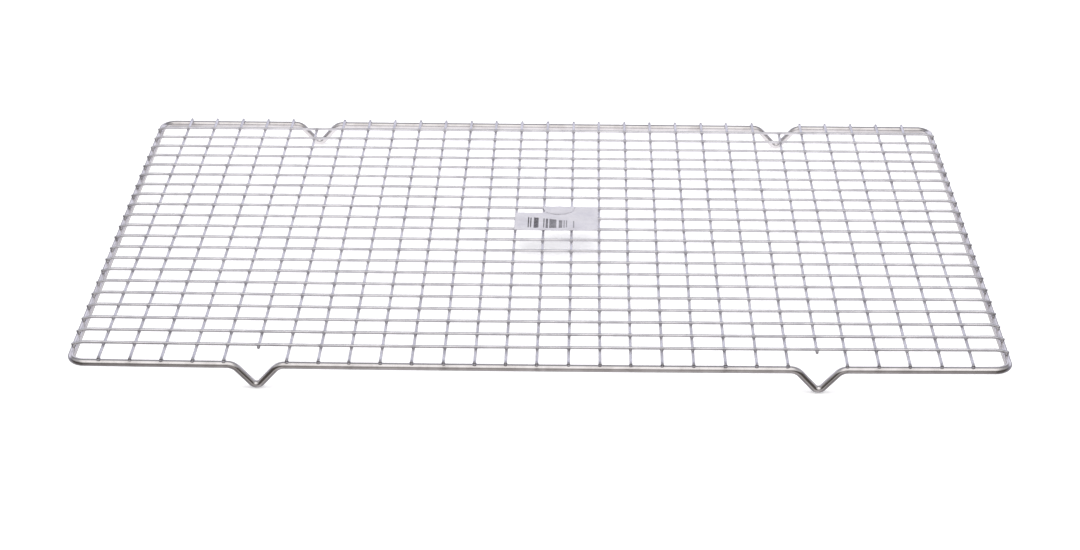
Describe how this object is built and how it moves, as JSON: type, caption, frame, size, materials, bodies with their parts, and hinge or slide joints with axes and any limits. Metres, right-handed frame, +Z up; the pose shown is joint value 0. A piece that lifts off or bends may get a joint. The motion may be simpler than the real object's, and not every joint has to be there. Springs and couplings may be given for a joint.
{
  "type": "cooling rack",
  "caption": "Rectangular wire cooling rack: a heavy bent frame wire with V-shaped feet, and a welded grid of thin plated wires with a sticker on top.",
  "frame": {"origin": "on the worktop, under the middle of the rack", "axes": "+X along the rack's long side, +Y from its front long side to its back one, +Z up"},
  "size_m": [0.6058, 0.3998, 0.0234],
  "materials": {
    "frame_plating": "bright plated steel wire",
    "wire_plating": "bright plated steel wire",
    "sticker_paper": "thin pale label paper with printed bars"
  },
  "bodies": {
    "root": {"frame_wire": "frame_plating", "cross_wire_01": "wire_plating", "cross_wire_02": "wire_plating", "cross_wire_03": "wire_plating", "cross_wire_04": "wire_plating", "cross_wire_05": "wire_plating", "cross_wire_06": "wire_plating", "cross_wire_07": "wire_plating", "cross_wire_08": "wire_plating", "cross_wire_09": "wire_plating", "cross_wire_10": "wire_plating", "cross_wire_11": "wire_plating", "cross_wire_12": "wire_plating", "cross_wire_13": "wire_plating", "cross_wire_14": "wire_plating", "cross_wire_15": "wire_plating", "cross_wire_16": "wire_plating", "cross_wire_17": "wire_plating", "cross_wire_18": "wire_plating", "cross_wire_19": "wire_plating", "cross_wire_20": "wire_plating", "cross_wire_21": "wire_plating", "cross_wire_22": "wire_plating", "cross_wire_23": "wire_plating", "cross_wire_24": "wire_plating", "cross_wire_25": "wire_plating", "cross_wire_26": "wire_plating", "cross_wire_27": "wire_plating", "cross_wire_28": "wire_plating", "cross_wire_29": "wire_plating", "long_wire_01": "wire_plating", "long_wire_02": "wire_plating", "long_wire_03": "wire_plating", "long_wire_04": "wire_plating", "long_wire_05": "wire_plating", "long_wire_06": "wire_plating", "long_wire_07": "wire_plating", "long_wire_08": "wire_plating", "long_wire_09": "wire_plating", "long_wire_10": "wire_plating", "long_wire_11": "wire_plating", "long_wire_12": "wire_plating", "long_wire_13": "wire_plating", "long_wire_14": "wire_plating", "long_wire_15": "wire_plating", "long_wire_16": "wire_plating", "long_wire_17": "wire_plating", "long_wire_18": "wire_plating", "long_wire_19": "wire_plating", "long_wire_20": "wire_plating", "long_wire_21": "wire_plating", "barcode_sticker": "sticker_paper"}
  },
  "joints": []
}
